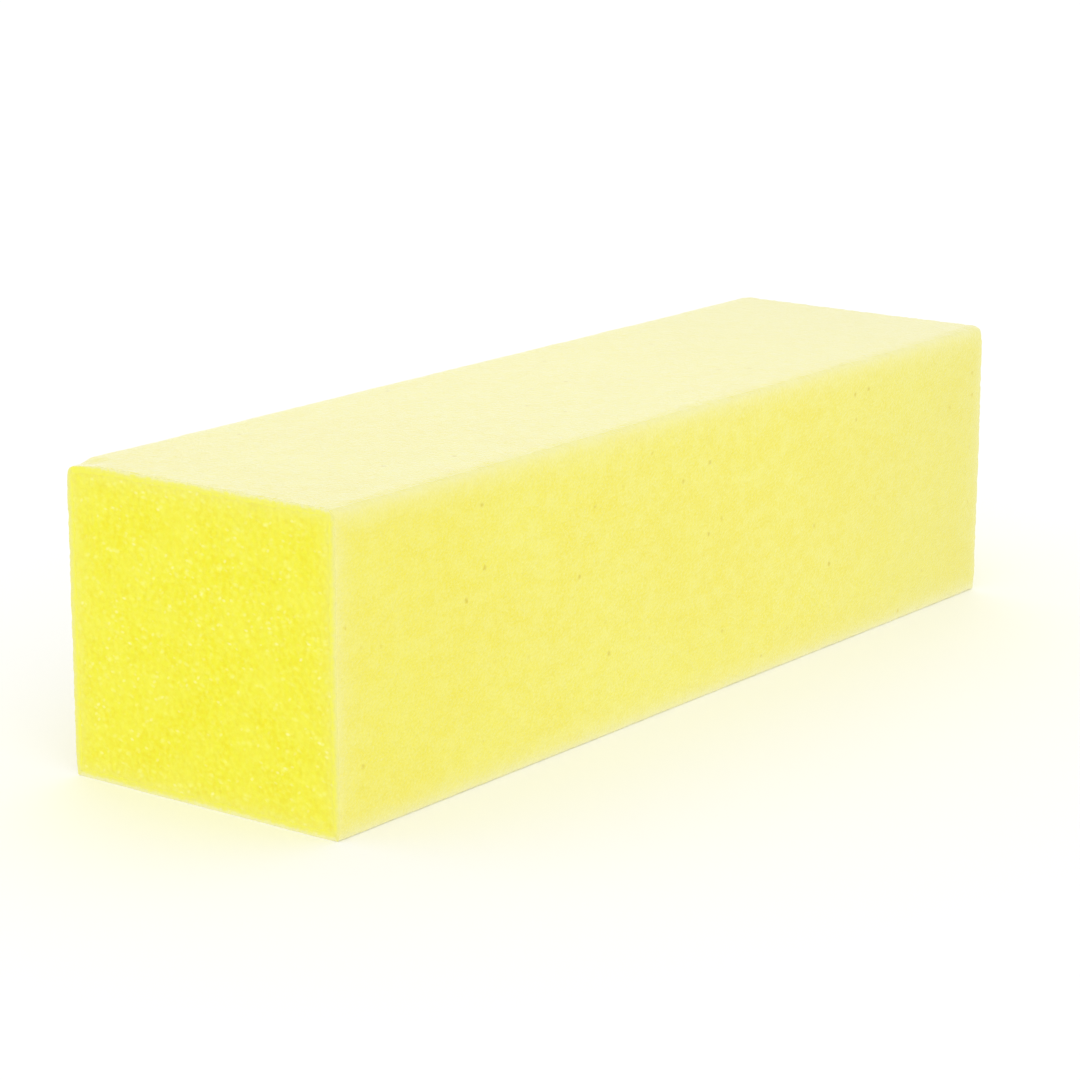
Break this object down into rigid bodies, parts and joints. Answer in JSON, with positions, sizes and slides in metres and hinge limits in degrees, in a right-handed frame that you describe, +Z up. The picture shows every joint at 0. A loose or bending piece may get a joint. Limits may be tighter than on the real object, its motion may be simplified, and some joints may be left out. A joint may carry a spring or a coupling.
{
  "type": "nail buffer block",
  "caption": "Rectangular bar of yellow foam with a fine abrasive coat on its long faces and bare cut foam at its ends, for buffing nails by hand.",
  "frame": {"origin": "centre of the underside, midway between the ends", "axes": "+Z up, +Y along the block from the front end to the back end, +X to the right when looking along +Y"},
  "size_m": [0.028, 0.095, 0.026],
  "materials": {
    "foam": "bright lemon-yellow open-cell foam, cut and bare at the ends, matte with tiny glinting cell walls",
    "bond_resin": "pale cream resin film, seen only as a thin line at the cut ends",
    "abrasive_grit": "pale lemon fine grit, dry and matte, a little paler along the long edges"
  },
  "bodies": {
    "root": {"foam_core": "foam", "bond_coat_top": "bond_resin", "bond_coat_bottom": "bond_resin", "bond_coat_left": "bond_resin", "bond_coat_right": "bond_resin", "abrasive_coat_top": "abrasive_grit", "abrasive_coat_bottom": "abrasive_grit", "abrasive_coat_left": "abrasive_grit", "abrasive_coat_right": "abrasive_grit"}
  },
  "joints": []
}
